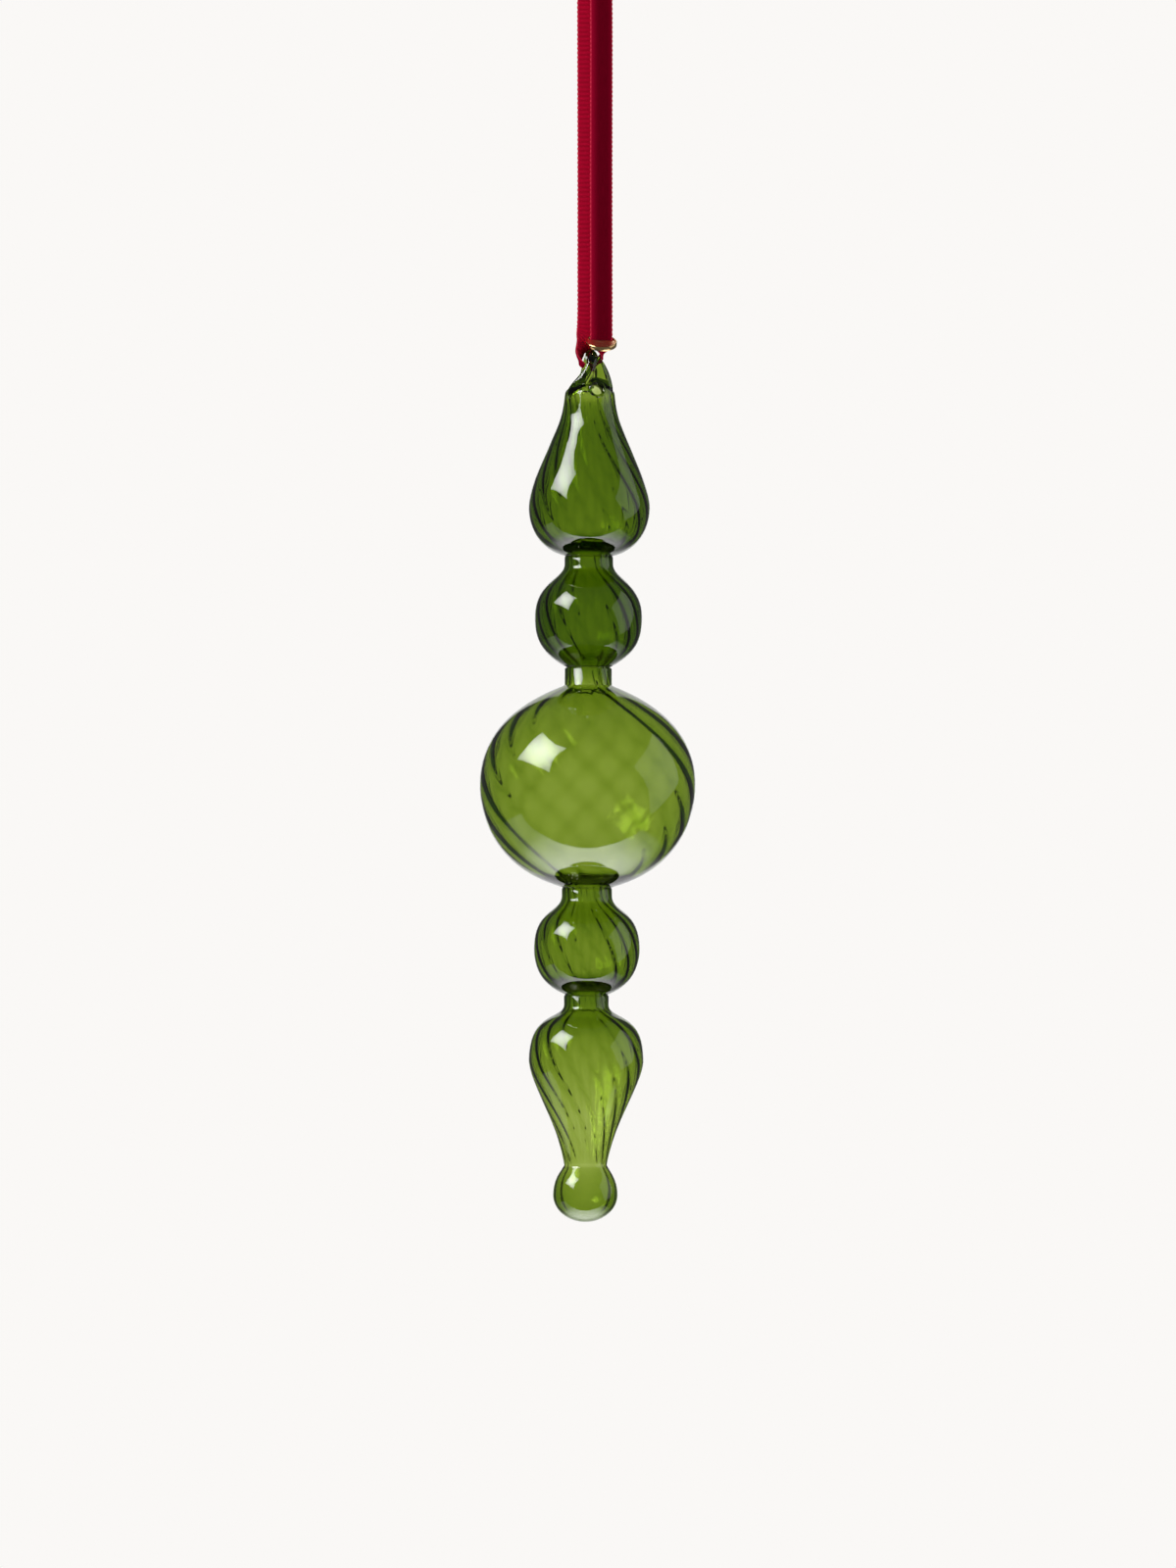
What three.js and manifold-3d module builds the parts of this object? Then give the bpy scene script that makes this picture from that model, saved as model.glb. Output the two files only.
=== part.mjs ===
// A blown green glass finial ornament on a velvet ribbon loop, with a small metal slider.
// Millimetres, +Z up, the front towards -Y. The origin is the hanging point: the inside
// of the ribbon loop's crown, straight above the glass body's own axis.
import * as THREE from 'three';
import { mergeVertices } from 'three/addons/utils/BufferGeometryUtils.js';
import Module from 'manifold-3d';

const wasm = await Module();
wasm.setup();

const degree = Math.PI / 180;

// Clearance between pieces that touch.
const seatGap = 0.3;

// Ribbon: a flat tape of velvet.
const ribbonWidth = 6.0;
const ribbonThickness = 0.8;
const ribbonEdgeRound = 0.3;
const hangingDrop = 111.55; // from the hanging point down to the axis of the eye's bar

// Eye: an arch of solid glass that stands over the closed top of the body.
const eyeTurn = 15 * degree; // the arch's plane, from straight fore and aft
const barHalfWidth = 1.5; // across the arch's plane, at the bar
const barHalfDepth = 1.5; // in the arch's plane
const eyeSideClearance = 0.7; // between the ribbon's edge and each leg
const eyeHoleHeight = 2.9; // from the bar's underside to the top of the body
const archSquareness = 3; // 2 would be a plain ellipse
const legFlare = 2.2; // how much wider a leg is than the bar, to each side
const footFlare = 2.9;
const footReach = 3.2; // how far the feet come down past the top of the body

// Glass body: bulbs in a row down the axis, all radii outside ones.
const shoulderRadius = 6.2;
const shoulderHeight = 5.4;
const pear = { neck: 0, neckRadius: 6.2, radius: 15.7, upper: 30.1, lower: 12.4, crease: 5.4,
  leave: 11.9 * degree, leavePull: 16.2, upperPull: 9.3, lowerPull: 8.0, arrive: 70 * degree, arrivePull: 4.0 };
const upperBead = { neck: 2.2, neckRadius: 6.4, radius: 14.1, upper: 13.9, lower: 13.1, crease: 5.6,
  leave: 0, leavePull: 3.6, upperPull: 9.2, lowerPull: 5.0, arrive: 63 * degree, arrivePull: 8.3 };
const bigBall = { neck: 4.6, neckRadius: 6.2, radius: 28.2, upper: 26.2, lower: 26.9, crease: 5.9,
  leave: 37 * degree, leavePull: 1.0, upperPull: 19.7, lowerPull: 20.2, arrive: 66 * degree, arrivePull: 6.3 };
const lowerBead = { neck: 2.2, neckRadius: 6.6, radius: 13.8, upper: 13.5, lower: 12.4, crease: 5.4,
  leave: 0, leavePull: 4.3, upperPull: 10.0, lowerPull: 6.8, arrive: 63 * degree, arrivePull: 4.1 };
const lowerDrop = { neck: 2.6, neckRadius: 5.9, radius: 15.1, upper: 14.3, lower: 27.8, crease: 5.6,
  leave: 0, leavePull: 3.8, upperPull: 12.5, lowerPull: 6.5, arrive: 9 * degree, arrivePull: 12.0 };
const bulbs = [pear, upperBead, bigBall, lowerBead, lowerDrop];
const endBallRadius = 8.5;
const endBallUpper = 7.7;
const endBallLower = 7.2;
const creaseLip = 0.35; // height of the small lip under each jack line

// Glass wall and its optic ribs, which stand on the inner side.
const wallTop = 1.5;
const wallBottom = 1.0;
const crownWall = 1.9; // the thicker glass of the closed top
const ribCount = 16;
const ribHeight = 0.28;
const ribTwist = 2.0 * degree; // turn of the ribs for each millimetre down

// Vent: a small fire-polished hole in the front of the pear's shoulder.
const ventRadius = 1.5;
const ventLipRadius = 2.3;
const ventLipHeight = 0.35;
const ventDrop = 4.5; // from the body's closed top down to the vent's middle
const ventTurn = 21 * degree; // to the right of straight ahead
const ventLean = 15 * degree; // upwards, square to the shoulder

// Slider: a small metal disc with a raised rim, on the front strand.
const discRadius = 4.1;
const discThickness = 1.2;
const discRimWidth = 0.45;
const discRimHeight = 0.18;
const discTilt = 28 * degree; // its face leans towards the front
const discRoll = 2.5 * degree;
const slotOffset = 1.5; // the slot lies behind the disc's middle
const slotClearance = 0.35;

// Lap: the ribbon's two ends overlap behind the crown and are sewn together.
const lapTop = 5.0; // the outer end, below the hanging point
const lapBottom = 15.5; // the inner end
const threadRadius = 0.2;
const stitchLength = 2.0;
const stitchSpread = 1.4; // each stitch from the ribbon's middle line
const stitchRows = [lapTop + 3.0, lapBottom - 2.9];
const needleHole = 1.0; // width of the hole that each end of a stitch passes through

// Mesh counts.
const outerSides = 32;
const eyeSides = 14;
const threadSides = 6;
const discSides = 40;
const ribSides = 3; // sides of the cavity for each rib
const curveSteps = 5;
const closeReach = 8; // route points nearer than this have a finer step between them
const cavityStep = 2.2; // least rise between two rings of the cavity

const greenGlass = material(0x4a6a12, 0.05, 0.0);
const velvet = material(0x8c0a1e, 0.9, 0.0);
const gold = material(0xd8b25a, 0.25, 1.0);

function material(color, roughness, metalness) {
  return new THREE.MeshStandardMaterial({ color, roughness, metalness });
}

// Joins and cuts need solids with shared corners.
function toSolid(geometry) {
  const bare = geometry.clone();
  bare.deleteAttribute('normal');
  bare.deleteAttribute('uv');
  const merged = mergeVertices(bare, 1e-5);
  return new wasm.Manifold(new wasm.Mesh({
    numProp: 3,
    vertProperties: new Float32Array(merged.attributes.position.array),
    triVerts: new Uint32Array(merged.index.array),
  }));
}

function toGeometry(solid) {
  const mesh = solid.getMesh();
  const geometry = new THREE.BufferGeometry();
  geometry.setAttribute('position', new THREE.BufferAttribute(new Float32Array(mesh.vertProperties), 3));
  geometry.setIndex(new THREE.BufferAttribute(new Uint32Array(mesh.triVerts), 1));
  geometry.computeVertexNormals();
  return geometry;
}

function named(name, geometry, finish) {
  const mesh = new THREE.Mesh(geometry, finish);
  mesh.name = name;
  return mesh;
}

// Skins a list of closed rings, with a cap of triangles on each end ring.
function skinRings(rings) {
  const sides = rings[0].length;
  const corners = rings.flat();
  const faces = [];
  for (let r = 0; r + 1 < rings.length; r += 1) {
    for (let s = 0; s < sides; s += 1) {
      const a = r * sides + s;
      const b = r * sides + ((s + 1) % sides);
      faces.push(a, b, b + sides, a, b + sides, a + sides);
    }
  }
  const last = (rings.length - 1) * sides;
  for (let s = 1; s + 1 < sides; s += 1) {
    faces.push(0, s + 1, s, last, last + s, last + s + 1);
  }
  const geometry = new THREE.BufferGeometry().setFromPoints(corners);
  geometry.setIndex(faces);
  return geometry;
}

// Depths below are measured down from the axis of the eye's bar.
const crownDepth = barHalfDepth + eyeHoleHeight;

function curveDown(from, leave, leavePull, to, arrive, arrivePull) {
  const start = new THREE.Vector2(from[0], from[1]);
  const end = new THREE.Vector2(to[0], to[1]);
  const first = start.clone().add(new THREE.Vector2(Math.sin(leave), Math.cos(leave)).multiplyScalar(leavePull));
  const second = end.clone().sub(new THREE.Vector2(Math.sin(arrive), Math.cos(arrive)).multiplyScalar(arrivePull));
  return new THREE.CubicBezierCurve(start, first, second, end).getPoints(curveSteps);
}

// The outer outline as points of radius and depth, from the closed top to the closed bottom.
function bodyOutline() {
  const outline = [];
  let depth = crownDepth + shoulderHeight;
  outline.push(...curveDown([0.02, crownDepth], 90 * degree, shoulderRadius * 0.66,
    [shoulderRadius, depth], pear.leave, shoulderHeight * 0.6));
  for (const bulb of bulbs) {
    if (bulb.neck > 0) {
      outline.push(new THREE.Vector2(bulb.neckRadius, depth + creaseLip));
      depth += bulb.neck;
    }
    const middle = depth + bulb.upper;
    const foot = middle + bulb.lower;
    outline.push(...curveDown([bulb.neckRadius, depth], bulb.leave, bulb.leavePull,
      [bulb.radius, middle], 0, bulb.upperPull));
    outline.push(...curveDown([bulb.radius, middle], 0, bulb.lowerPull,
      [bulb.crease, foot], -bulb.arrive, bulb.arrivePull));
    depth = foot;
  }
  const ballMiddle = depth + endBallUpper;
  outline.push(...curveDown([lowerDrop.crease, depth], 30 * degree, endBallUpper * 0.35,
    [endBallRadius, ballMiddle], 0, endBallUpper * 0.5));
  const quarter = 0.5523; // makes a cubic curve a quarter of an ellipse
  outline.push(...curveDown([endBallRadius, ballMiddle], 0, endBallLower * quarter,
    [0.02, ballMiddle + endBallLower], -90 * degree, endBallRadius * quarter));
  return outline.filter((point, i) => i === 0 || point.distanceTo(outline[i - 1]) > 0.05);
}

// The inner outline lies one wall inside the outer one, square to it.
function cavityOutline(outline) {
  const top = outline[0].y;
  const length = outline[outline.length - 1].y - top;
  const inner = [];
  for (let i = 1; i + 1 < outline.length; i += 1) {
    const along = outline[i + 1].clone().sub(outline[i - 1]).normalize();
    const share = (outline[i].y - top) / length;
    const crown = Math.max(0, 1 - (outline[i].y - top) / shoulderHeight);
    const wall = THREE.MathUtils.lerp(wallTop, wallBottom, share) + crown * (crownWall - wallTop);
    const point = new THREE.Vector2(outline[i].x - along.y * wall, outline[i].y + along.x * wall);
    const last = inner[inner.length - 1];
    if (point.x > 0.3 && (!last || point.distanceTo(last) > cavityStep)) inner.push(point);
  }
  return inner;
}

// Turns an outline into a closed skin. The radius may change round each ring.
function turnSkin(outline, sides, radiusAt) {
  const rings = outline.map((point) => {
    const ring = [];
    for (let s = 0; s < sides; s += 1) {
      const angle = (s / sides) * 2 * Math.PI;
      const radius = radiusAt(point, angle);
      ring.push(new THREE.Vector3(radius * Math.cos(angle), radius * Math.sin(angle), -point.y));
    }
    return ring.reverse();
  });
  return skinRings(rings);
}

function ribbedRadius(point, angle) {
  const fade = Math.min(1, point.x / shoulderRadius);
  const phase = ribCount * (angle - ribTwist * point.y);
  return point.x - ribHeight * fade * (0.5 + 0.5 * Math.cos(phase));
}

function radiusAtDepth(outline, depth) {
  const i = outline.findIndex((point) => point.y >= depth);
  const share = (depth - outline[i - 1].y) / (outline[i].y - outline[i - 1].y);
  return THREE.MathUtils.lerp(outline[i - 1].x, outline[i].x, share);
}

// A short round bar that points out of the body through the vent.
function ventBar(outline, radius, inside, outside) {
  const depth = crownDepth + ventDrop;
  const skin = radiusAtDepth(outline, depth);
  const bar = new THREE.CylinderGeometry(radius, radius, inside + outside, 24);
  bar.translate(0, (outside - inside) / 2, 0);
  bar.rotateX(ventLean);
  bar.translate(0, skin, -depth);
  bar.rotateZ(180 * degree + ventTurn);
  return toSolid(bar);
}

function glassBody(outline) {
  const outer = toSolid(turnSkin(outline, outerSides, (point) => point.x));
  const cavity = toSolid(turnSkin(cavityOutline(outline), ribCount * ribSides, ribbedRadius));
  const lip = ventBar(outline, ventLipRadius, wallTop * 0.8, ventLipHeight);
  const hole = ventBar(outline, ventRadius, shoulderRadius * 0.6, ventLipHeight + 1);
  return toGeometry(outer.add(lip).subtract(cavity).subtract(hole));
}

// Stations along one half of the eye, from the bar out to a foot: the place in the arch's
// plane, the flare across it, and how much of the bar's thickness is left.
function eyeStations() {
  const span = ribbonWidth / 2 + eyeSideClearance + barHalfDepth;
  const legTop = 1.5 * barHalfDepth;
  const foot = crownDepth + footReach;
  const half = [0, 0.25, 0.5, 0.72, 0.9, 1].map((share) => {
    const drop = legTop * (1 - (1 - share ** archSquareness) ** (1 / archSquareness));
    return { out: span * share, depth: drop, flare: share ** 4, thick: 1 };
  });
  half.push({ out: span, depth: (legTop + foot) / 2, flare: legFlare, thick: 0.95 });
  half.push({ out: span * 0.93, depth: foot - 1.2, flare: footFlare, thick: 0.85 });
  half.push({ out: span * 0.8, depth: foot + 0.8, flare: footFlare, thick: 0.7 });
  const otherHalf = half.slice(1).map((station) => ({ ...station, out: -station.out }));
  return [...otherHalf.reverse(), ...half];
}

function eyeArch() {
  const stations = eyeStations();
  const rings = stations.map((station, i) => {
    const before = stations[Math.max(0, i - 1)];
    const after = stations[Math.min(stations.length - 1, i + 1)];
    const along = new THREE.Vector2(after.out - before.out, before.depth - after.depth).normalize();
    const ring = [];
    for (let s = 0; s < eyeSides; s += 1) {
      const angle = (s / eyeSides) * 2 * Math.PI;
      const across = (barHalfWidth + station.flare) * Math.cos(angle);
      const rise = barHalfDepth * station.thick * Math.sin(angle);
      ring.push(new THREE.Vector3(across, station.out - along.y * rise, along.x * rise - station.depth));
    }
    return ring.reverse();
  });
  const arch = skinRings(rings);
  arch.rotateZ(eyeTurn);
  return toSolid(arch);
}

function hangingEye(outline) {
  const belowFeet = crownDepth + 2 * footReach;
  const top = outline.filter((point) => point.y < belowFeet);
  const seat = top.map((point, i) => new THREE.Vector2(i === 0 ? point.x : point.x + seatGap, point.y - seatGap));
  const keepOut = toSolid(turnSkin(seat, outerSides, (point) => point.x));
  const ventRoom = ventBar(outline, ventLipRadius + seatGap, shoulderRadius / 2, shoulderRadius);
  return eyeArch().subtract(keepOut).subtract(ventRoom);
}

// The ribbon's route, chosen by hand: x, y, z and the direction of the tape's width, in
// degrees round the vertical. It starts under the lap, runs over the crown, down the front
// strand, through the slider and the eye, and up the back strand to the lap.
const bar = -hangingDrop;
const route = [
  [-0.95, 2.45, -lapBottom, 0],
  [-0.95, 2.45, -10.0, 0],
  [-0.9, 2.45, -4.5, 0],
  [-0.6, 2.2, -1.3, 0],
  [0, 0, 0.4, 0],
  [0.9, -2.2, -1.3, 0],
  [1.6, -2.4, -4.5, 0],
  [2.25, -1.75, -11.0, 0],
  [2.45, -0.9, bar + 92, 0],
  [2.68, -0.4, bar + 47.5, 0],
  [2.93, 0.16, bar + 7.0, 0],
  [2.95, 0.2, bar + 3.7, 0],
  [3.05, 0.24, bar + 3.0, 12],
  [3.25, 0.3, bar + 2.2, 40],
  [3.3, 0.35, bar + 1.4, 70],
  [3.2, 0.45, bar + 0.7, 90],
  [2.9, 0.62, bar - 0.05, 103],
  [2.35, 0.63, bar - 0.95, 105],
  [1.4, 0.38, bar - 2.15, 105],
  [0, 0, bar - 2.55, 105],
  [-1.4, -0.38, bar - 2.15, 105],
  [-2.35, -0.63, bar - 0.95, 105],
  [-2.9, -0.62, bar - 0.05, 104],
  [-3.15, -0.55, bar + 0.75, 97],
  [-3.1, -0.45, bar + 1.5, 86],
  [-2.85, -0.35, bar + 2.3, 76],
  [-2.45, 0.0, bar + 3.2, 64],
  [-1.85, 0.9, bar + 4.3, 50],
  [-1.2, 2.05, bar + 5.6, 34],
  [-0.75, 2.75, bar + 7.2, 17],
  [-0.5, 2.9, bar + 10, 3],
  [-0.5, 2.85, bar + 25, 0],
  [-0.7, 2.7, bar + 60, 0],
  [-0.9, 2.7, -25.0, 0],
  [-0.95, 3.45, -17.0, 0],
  [-0.95, 3.55, -10.0, 0],
  [-0.95, 3.55, -lapTop, 0],
];

const routeCurve = new THREE.CatmullRomCurve3(route.map(([x, y, z]) => new THREE.Vector3(x, y, z)), false, 'centripetal');

// A flat tape along the route: rings of eight corners, turned with the width's direction.
function ribbonTape() {
  const half = ribbonWidth / 2;
  const face = ribbonThickness / 2;
  const round = ribbonEdgeRound;
  const section = [[half, face - round], [half - round, face], [round - half, face], [-half, face - round],
    [-half, round - face], [round - half, -face], [half - round, -face], [half, round - face]];
  const rings = [];
  const spans = route.length - 1;
  for (let i = 0; i < spans; i += 1) {
    const reach = Math.hypot(route[i + 1][0] - route[i][0], route[i + 1][1] - route[i][1], route[i + 1][2] - route[i][2]);
    const steps = reach < closeReach ? 3 : 2;
    const last = i === spans - 1 ? steps : steps - 1;
    for (let s = 0; s <= last; s += 1) {
      const share = s / steps;
      const at = routeCurve.getPoint((i + share) / spans);
      const along = routeCurve.getTangent((i + share) / spans);
      const azimuth = THREE.MathUtils.lerp(route[i][3], route[i + 1][3], share) * degree;
      const width = new THREE.Vector3(Math.cos(azimuth), Math.sin(azimuth), 0);
      width.addScaledVector(along, -width.dot(along)).normalize();
      const outward = new THREE.Vector3().crossVectors(along, width);
      rings.push(section.map(([w, n]) => at.clone().addScaledVector(width, w).addScaledVector(outward, n)));
    }
  }
  return toSolid(skinRings(rings));
}

const lapX = route[0][0];
const lapMiddleY = (route[0][1] + route[route.length - 1][1]) / 2;
const lapDepth = Math.abs(route[route.length - 1][1] - route[0][1]) + ribbonThickness;

function velvetRibbon() {
  let tape = ribbonTape();
  for (const [x, row] of stitchPlaces()) {
    for (const end of [-1, 1]) {
      const hole = new THREE.BoxGeometry(needleHole, lapDepth * 2, needleHole);
      hole.translate(x, lapMiddleY, -row + (end * stitchLength) / 2);
      tape = tape.subtract(toSolid(hole));
    }
  }
  return toGeometry(tape);
}

function stitchPlaces() {
  return stitchRows.flatMap((row) => [[lapX - stitchSpread, row], [lapX + stitchSpread, row]]);
}

// One stitch is a closed ring of thread, through both plies at each end.
function lapStitch(x, row) {
  const halfDepth = lapDepth / 2 + threadRadius + seatGap / 2;
  const halfLength = stitchLength / 2;
  const corner = threadRadius * 1.5;
  const turns = [[1, 1, 0], [-1, 1, 90], [-1, -1, 180], [1, -1, 270]];
  const rings = [];
  for (const [zSign, ySign, from] of turns) {
    for (const step of [0, 45, 90]) {
      const angle = (from + step) * degree;
      const z = zSign * (halfLength - corner);
      const y = ySign * (halfDepth - corner);
      const ring = [];
      for (let s = 0; s < threadSides; s += 1) {
        const round = (s / threadSides) * 2 * Math.PI;
        const reach = corner + threadRadius * Math.cos(round);
        ring.push(new THREE.Vector3(x + threadRadius * Math.sin(round),
          lapMiddleY + y + reach * Math.sin(angle), -row + z + reach * Math.cos(angle)));
      }
      rings.push(ring);
    }
  }
  const faces = [];
  const count = rings.length;
  for (let r = 0; r < count; r += 1) {
    const next = ((r + 1) % count) * threadSides;
    for (let s = 0; s < threadSides; s += 1) {
      const t = (s + 1) % threadSides;
      const a = r * threadSides + s;
      const b = r * threadSides + t;
      faces.push(a, b, next + t, a, next + t, next + s);
    }
  }
  const geometry = new THREE.BufferGeometry().setFromPoints(rings.flat());
  geometry.setIndex(faces);
  return geometry;
}

// The disc's outline: flat faces inside a raised rim, closed on the axis.
function discSolid() {
  const face = discThickness / 2 - discRimHeight;
  const edge = discThickness / 2;
  const chamfer = discRimHeight * 0.8;
  const inner = discRadius - discRimWidth;
  const profile = [[0, -face], [inner - chamfer, -face], [inner, -edge], [discRadius - chamfer, -edge],
    [discRadius, chamfer - edge], [discRadius, edge - chamfer], [discRadius - chamfer, edge], [inner, edge],
    [inner - chamfer, face], [0, face]];
  const disc = new THREE.LatheGeometry(profile.map(([r, h]) => new THREE.Vector2(r, h)), discSides);
  disc.rotateX(90 * degree);
  return disc;
}

// The strand that the slider runs on, straight from above the eye to below the crown.
const strandTop = new THREE.Vector3(...route[8]);
const strandFoot = new THREE.Vector3(...route[11]);
const strandUp = strandTop.clone().sub(strandFoot).normalize();

function discAt(place) {
  const disc = discSolid();
  disc.translate(0, -slotOffset, 0);
  disc.rotateX(discTilt);
  disc.rotateY(discRoll);
  disc.translate(place.x, place.y, place.z);
  return toSolid(disc);
}

// The slider comes down the strand until it rests on the eye.
function charmSlider(eye) {
  const place = strandFoot.clone().addScaledVector(strandUp, discRadius);
  for (let i = 0; i < 12; i += 1) {
    const gap = discAt(place).minGap(eye, 4 * discRadius);
    place.addScaledVector(strandUp, seatGap - gap);
  }
  const slot = new THREE.BoxGeometry(ribbonWidth + 2 * slotClearance, ribbonThickness + 2 * slotClearance, 6);
  slot.applyQuaternion(new THREE.Quaternion().setFromUnitVectors(new THREE.Vector3(0, 0, 1), strandUp));
  slot.translate(place.x, place.y, place.z);
  return toGeometry(discAt(place).subtract(toSolid(slot)));
}

const ornament = new THREE.Group();
const outline = bodyOutline();

const glass = new THREE.Group();
glass.position.z = bar;
const eye = hangingEye(outline);
glass.add(named('glass_body', glassBody(outline), greenGlass));
glass.add(named('hanging_eye', toGeometry(eye), greenGlass));
ornament.add(glass);

ornament.add(named('velvet_ribbon', velvetRibbon(), velvet));
stitchPlaces().forEach(([x, row], i) => {
  ornament.add(named(`lap_stitch_${i + 1}`, lapStitch(x, row), velvet));
});
ornament.add(named('charm_slider', charmSlider(eye.translate([0, 0, bar])), gold));

export default ornament;
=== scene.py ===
# %% [markdown]
# # A blown glass finial on a velvet ribbon
#
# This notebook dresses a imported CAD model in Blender. The ornament is one long piece of
# green glass, blown as a row of bulbs, with a solid glass eye on top. A narrow velvet
# ribbon runs through the eye as a loop, and a small metal disc slides on its front strand.
# Everything is in metres, and the origin is the hanging point inside the loop's crown.
#
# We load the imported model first. It stays where it is, and each new piece either takes the
# place of one of its nodes or gives that node a better finish.

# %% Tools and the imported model
import math

import bmesh
import bpy
from mathutils import Matrix, Vector, noise
from mathutils.geometry import interpolate_bezier


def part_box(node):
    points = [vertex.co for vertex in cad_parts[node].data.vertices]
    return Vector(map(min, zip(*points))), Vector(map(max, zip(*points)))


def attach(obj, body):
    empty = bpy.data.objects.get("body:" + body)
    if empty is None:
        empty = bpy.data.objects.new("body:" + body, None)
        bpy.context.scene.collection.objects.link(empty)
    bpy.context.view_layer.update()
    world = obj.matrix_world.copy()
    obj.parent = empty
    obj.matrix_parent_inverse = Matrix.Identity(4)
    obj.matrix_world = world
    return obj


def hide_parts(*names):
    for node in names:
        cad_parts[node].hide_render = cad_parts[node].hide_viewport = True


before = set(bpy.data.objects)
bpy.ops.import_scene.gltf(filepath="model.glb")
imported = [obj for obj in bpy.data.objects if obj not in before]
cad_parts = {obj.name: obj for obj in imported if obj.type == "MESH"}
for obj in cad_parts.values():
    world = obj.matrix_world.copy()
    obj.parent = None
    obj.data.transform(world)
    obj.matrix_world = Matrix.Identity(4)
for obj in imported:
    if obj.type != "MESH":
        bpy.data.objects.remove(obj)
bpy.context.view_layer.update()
scene = bpy.context.scene
MM = 0.001
print("nodes:", sorted(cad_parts))

# %% [markdown]
# ## Camera
#
# The photograph is taken level, from far away with a long lens, so the bulbs show almost no
# perspective. A close camera with a short lens would show the undersides of the upper bulbs.
# The ribbon is 6 mm wide and covers 23.3 pixels, which gives the scale, and so the lens. The
# ornament leans a third of a degree in the picture. The camera is rolled by that instead,
# because the model hangs plumb.

# %% Camera
MM_PER_PIXEL = 0.257
PICTURE_PIXELS = 1600  # from top to bottom
PICTURE_HEIGHT = PICTURE_PIXELS * MM_PER_PIXEL * MM
CAMERA_AWAY = 1.6
CAMERA_SIDE, CAMERA_HEIGHT = 0.1 * MM, -223.6 * MM
ROLL = math.radians(0.32)

lens = bpy.data.cameras.new("photo_lens")
lens.sensor_width = 36.0
lens.lens = lens.sensor_width * CAMERA_AWAY / PICTURE_HEIGHT
camera = bpy.data.objects.new("photo_camera", lens)
camera.location = (CAMERA_SIDE, -CAMERA_AWAY, CAMERA_HEIGHT)
camera.rotation_euler = (math.radians(90), -ROLL, 0)
scene.collection.objects.link(camera)
scene.camera = camera
print("lens:", round(lens.lens, 1), "mm")

# %% [markdown]
# ## The ribbon's route
#
# The ribbon is a cord in this model: a fixed length of something limp. It starts under the
# sewn lap behind the crown, goes over the crown, down the front strand through the metal
# slider, through the glass eye, and up the back strand to the lap. Gravity keeps the strands
# straight, so the route is listed and not simulated. Each point has a place and the
# direction of the tape's width, in degrees round the vertical, and a smooth curve runs
# through all of them.

# %% Route of the ribbon
BAR = -111.55  # height of the glass eye's bar, in mm below the hanging point
ROUTE = [
    (-0.95, 2.45, -15.5, 0), (-0.95, 2.45, -10.0, 0), (-0.9, 2.45, -4.5, 0),
    (-0.6, 2.2, -1.3, 0), (0, 0, 0.4, 0), (0.9, -2.2, -1.3, 0),
    (1.6, -2.4, -4.5, 0), (2.25, -1.75, -11.0, 0), (2.45, -0.9, BAR + 92, 0),
    (2.68, -0.4, BAR + 47.5, 0), (2.93, 0.16, BAR + 7.0, 0), (2.95, 0.2, BAR + 3.7, 0),
    (3.05, 0.24, BAR + 3.0, 12), (3.25, 0.3, BAR + 2.2, 40), (3.3, 0.35, BAR + 1.4, 70),
    (3.2, 0.45, BAR + 0.7, 90), (2.9, 0.62, BAR - 0.05, 103), (2.35, 0.63, BAR - 0.95, 105),
    (1.4, 0.38, BAR - 2.15, 105), (0, 0, BAR - 2.55, 105), (-1.6, -0.43, BAR - 2.4, 104),
    (-2.45, -0.6, BAR - 1.6, 97), (-2.8, -0.5, BAR - 0.6, 84), (-2.8, -0.4, BAR + 0.5, 73),
    (-2.7, -0.35, BAR + 1.5, 67), (-2.4, -0.2, BAR + 2.4, 60), (-2.0, 0.25, BAR + 3.3, 50),
    (-1.5, 1.15, BAR + 4.4, 38), (-1.0, 2.1, BAR + 5.6, 24), (-0.7, 2.75, BAR + 7.2, 10),
    (-0.5, 2.9, BAR + 10, 2), (-0.5, 2.85, BAR + 25, 0), (-0.7, 2.7, BAR + 60, 0),
    (-0.9, 2.7, -25.0, 0), (-0.95, 3.45, -17.0, 0), (-0.95, 3.55, -10.0, 0), (-0.95, 3.55, -5.0, 0),
]
TAPE_STEP = 0.25  # mm between two rings of the tape
LEAST_GAP = 1e-4  # keeps two points in one place from dividing by nothing


def curve_piece(before, start, end, after, share):
    """A point and the direction on a smooth curve from start to end, with even corners."""
    gap_in, gap, gap_out = [max((b - a).length_squared ** 0.25, LEAST_GAP)
                            for a, b in ((before, start), (start, end), (end, after))]
    leave = (start - before) / gap_in - (end - before) / (gap_in + gap) + (end - start) / gap
    arrive = (end - start) / gap - (after - start) / (gap + gap_out) + (after - end) / gap_out
    leave, arrive = leave * gap, arrive * gap
    square = 3 * (end - start) - 2 * leave - arrive
    cube = 2 * (start - end) + leave + arrive
    place = start + leave * share + square * share**2 + cube * share**3
    return place, (leave + 2 * square * share + 3 * cube * share**2).normalized()


def tape_frames(route, step):
    """Places along the route, each with the tape's direction, its width and its outward side."""
    places = [Vector(row[:3]) for row in route]
    places = [2 * places[0] - places[1], *places, 2 * places[-1] - places[-2]]
    frames = []
    for i in range(len(route) - 1):
        count = max(2, round((places[i + 2] - places[i + 1]).length / step))
        ends_here = i == len(route) - 2
        for k in range(count + ends_here):
            share = k / count
            place, along = curve_piece(*places[i:i + 4], share)
            azimuth = math.radians(route[i][3] + share * (route[i + 1][3] - route[i][3]))
            width = Vector((math.cos(azimuth), math.sin(azimuth), 0))
            width = (width - along * width.dot(along)).normalized()
            frames.append((place, along, width, along.cross(width)))
    return frames


tape = tape_frames(ROUTE, TAPE_STEP)

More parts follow.
